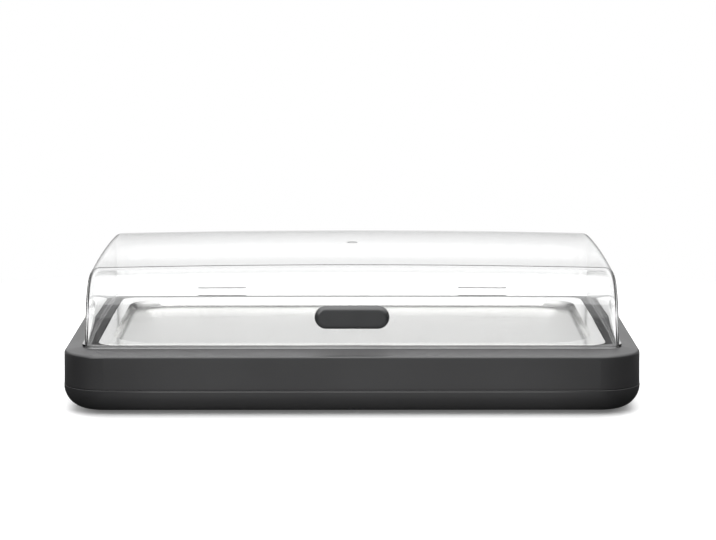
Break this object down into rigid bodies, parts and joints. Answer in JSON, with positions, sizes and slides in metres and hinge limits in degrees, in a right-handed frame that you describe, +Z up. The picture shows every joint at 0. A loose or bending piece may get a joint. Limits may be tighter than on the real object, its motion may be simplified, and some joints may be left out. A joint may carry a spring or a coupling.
{
  "type": "refrigerated buffet display",
  "caption": "Low insulated buffet display: dark base with a shallow steel tray over cold packs, under a clear hinged cover with a front grip.",
  "frame": {"origin": "on the table under the middle of the base, at the height of the feet's undersides", "axes": "+Z up, -Y out of the front with the handle, +X to the right as seen from the front"},
  "size_m": [0.6, 0.405, 0.1512],
  "materials": {
    "dark_plastic": "satin",
    "well_plastic": "matte",
    "foam": "matte",
    "pack_shell": "satin",
    "gel": "gloss",
    "plug": "satin",
    "steel_pin": "polished",
    "zinc_screw": "satin",
    "clear_plastic": "polished",
    "handle_plastic": "satin",
    "tray_steel": "satin",
    "foot_rubber": "matte"
  },
  "bodies": {
    "base": {"lower_shell": "dark_plastic", "upper_frame": "dark_plastic", "insulation_block": "foam", "cold_well": "well_plastic", "cold_pack_left": "pack_shell", "cold_pack_right": "pack_shell", "cooling_gel_left": "gel", "cooling_gel_right": "gel", "pack_plug_left": "plug", "pack_plug_right": "plug", "hinge_bracket_left": "well_plastic", "hinge_bracket_right": "well_plastic", "hinge_pin_left": "steel_pin", "hinge_pin_right": "steel_pin", "bracket_screws": "zinc_screw", "shell_screws": "zinc_screw", "foot_front_left": "foot_rubber", "foot_front_right": "foot_rubber", "foot_rear_left": "foot_rubber", "foot_rear_right": "foot_rubber"},
    "cover": {"clear_cover": "clear_plastic", "handle_grip": "handle_plastic", "handle_backplate": "handle_plastic", "handle_screws": "zinc_screw"},
    "tray": {"serving_tray": "tray_steel"}
  },
  "joints": [
    {"name": "lid_hinge", "type": "hinge", "parent": "base", "child": "cover", "pos_m": [0, 0.193, 0.058], "axis": [-1, 0, 0], "range_deg": [0, 100]},
    {"name": "tray_lift", "type": "slide", "parent": "base", "child": "tray", "axis": [0, 0, 1], "range_m": [0, 0.055]}
  ]
}
